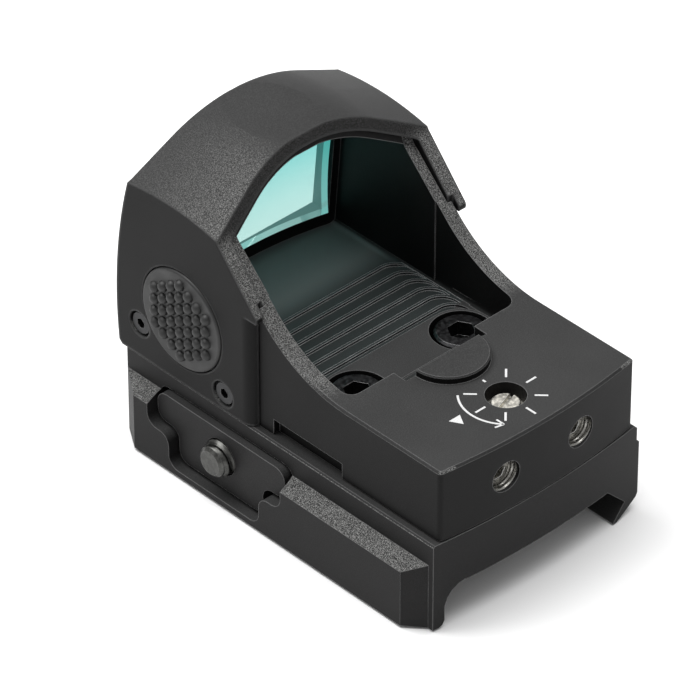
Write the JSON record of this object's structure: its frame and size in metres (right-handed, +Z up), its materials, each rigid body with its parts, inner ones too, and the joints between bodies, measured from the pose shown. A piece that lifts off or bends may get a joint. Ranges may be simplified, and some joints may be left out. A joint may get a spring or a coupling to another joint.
{
  "type": "red dot finder",
  "caption": "Open reflex red dot finder with a hooded curved lens, side button and a clamp base for an accessory rail.",
  "frame": {"origin": "middle of the rail seat, on the sight's centre plane, where the top of the rail touches the base", "axes": "+Z up, away from the rail; +Y along the line of sight, towards the target; +X to the user's right"},
  "size_m": [0.032, 0.0455, 0.0353],
  "materials": {
    "black_anodised": "satin black anodised",
    "hood_black": "bead-blasted black anodised",
    "button_rubber": "matt",
    "seal_rubber": "matt",
    "coated_glass": "partly reflecting coating",
    "steel": "bare",
    "black_steel": "black oxide",
    "brass": "nickel plated",
    "board": "circuit board",
    "chip": "moulded",
    "led_body": "clear red",
    "cell_steel": "nickel plated"
  },
  "bodies": {
    "sight": {"housing": "black_anodised", "hood_shell": "hood_black", "hood_screws": "steel", "switch_dome": "steel", "switch_board": "board", "lens": "coated_glass", "lens_seal": "seal_rubber", "lens_ring": "black_anodised", "lock_screws": "steel", "circuit_board": "board", "control_chip": "chip", "battery": "cell_steel", "battery_contact": "steel", "side_contact": "steel", "battery_seal": "seal_rubber", "mounting_screws": "black_steel", "locating_pins": "steel", "rail_base": "black_anodised", "bolt_washer": "steel"},
    "button": {"power_button": "button_rubber"},
    "windage_frame": {"windage_carrier": "brass"},
    "windage_adjuster": {"windage_screw": "brass", "windage_clip": "steel"},
    "emitter": {"emitter_block": "black_anodised", "emitter_led": "led_body"},
    "elevation_adjuster": {"elevation_screw": "brass", "elevation_clip": "steel"},
    "clamp": {"clamp_plate": "black_anodised"},
    "bolt": {"cross_bolt": "steel"}
  },
  "joints": [
    {"name": "button_press", "type": "slide", "parent": "sight", "child": "button", "axis": [1, 0, 0], "range_m": [0, 0.0003], "stiffness_N_per_m": 4000},
    {"name": "windage_turn", "type": "hinge", "parent": "sight", "child": "windage_adjuster", "pos_m": [0.0119, -0.0134, 0.0096], "axis": [1, 0, 0], "range_deg": [-360, 360]},
    {"name": "windage_shift", "type": "slide", "parent": "sight", "child": "windage_frame", "axis": [1, 0, 0], "range_m": [-0.00035, 0.00035]},
    {"name": "elevation_turn", "type": "hinge", "parent": "windage_frame", "child": "elevation_adjuster", "pos_m": [0, -0.0156, 0.0124], "axis": [0, 0, 1], "range_deg": [-360, 360]},
    {"name": "elevation_shift", "type": "slide", "parent": "windage_frame", "child": "emitter", "axis": [0, 0, 1], "range_m": [-0.00035, 0.00035]},
    {"name": "bolt_turn", "type": "hinge", "parent": "sight", "child": "bolt", "pos_m": [0.0135, 0.009, 0.0005], "axis": [1, 0, 0], "range_deg": [0, 720]},
    {"name": "clamp_slide", "type": "slide", "parent": "sight", "child": "clamp", "axis": [-1, 0, 0], "range_m": [0, 0.0014]}
  ],
  "couplings": [
    {"joint": "windage_turn", "follows": "windage_shift", "rad_per_m": -17952},
    {"joint": "elevation_turn", "follows": "elevation_shift", "rad_per_m": -17952},
    {"joint": "bolt_turn", "follows": "clamp_slide", "rad_per_m": 8975.9}
  ]
}
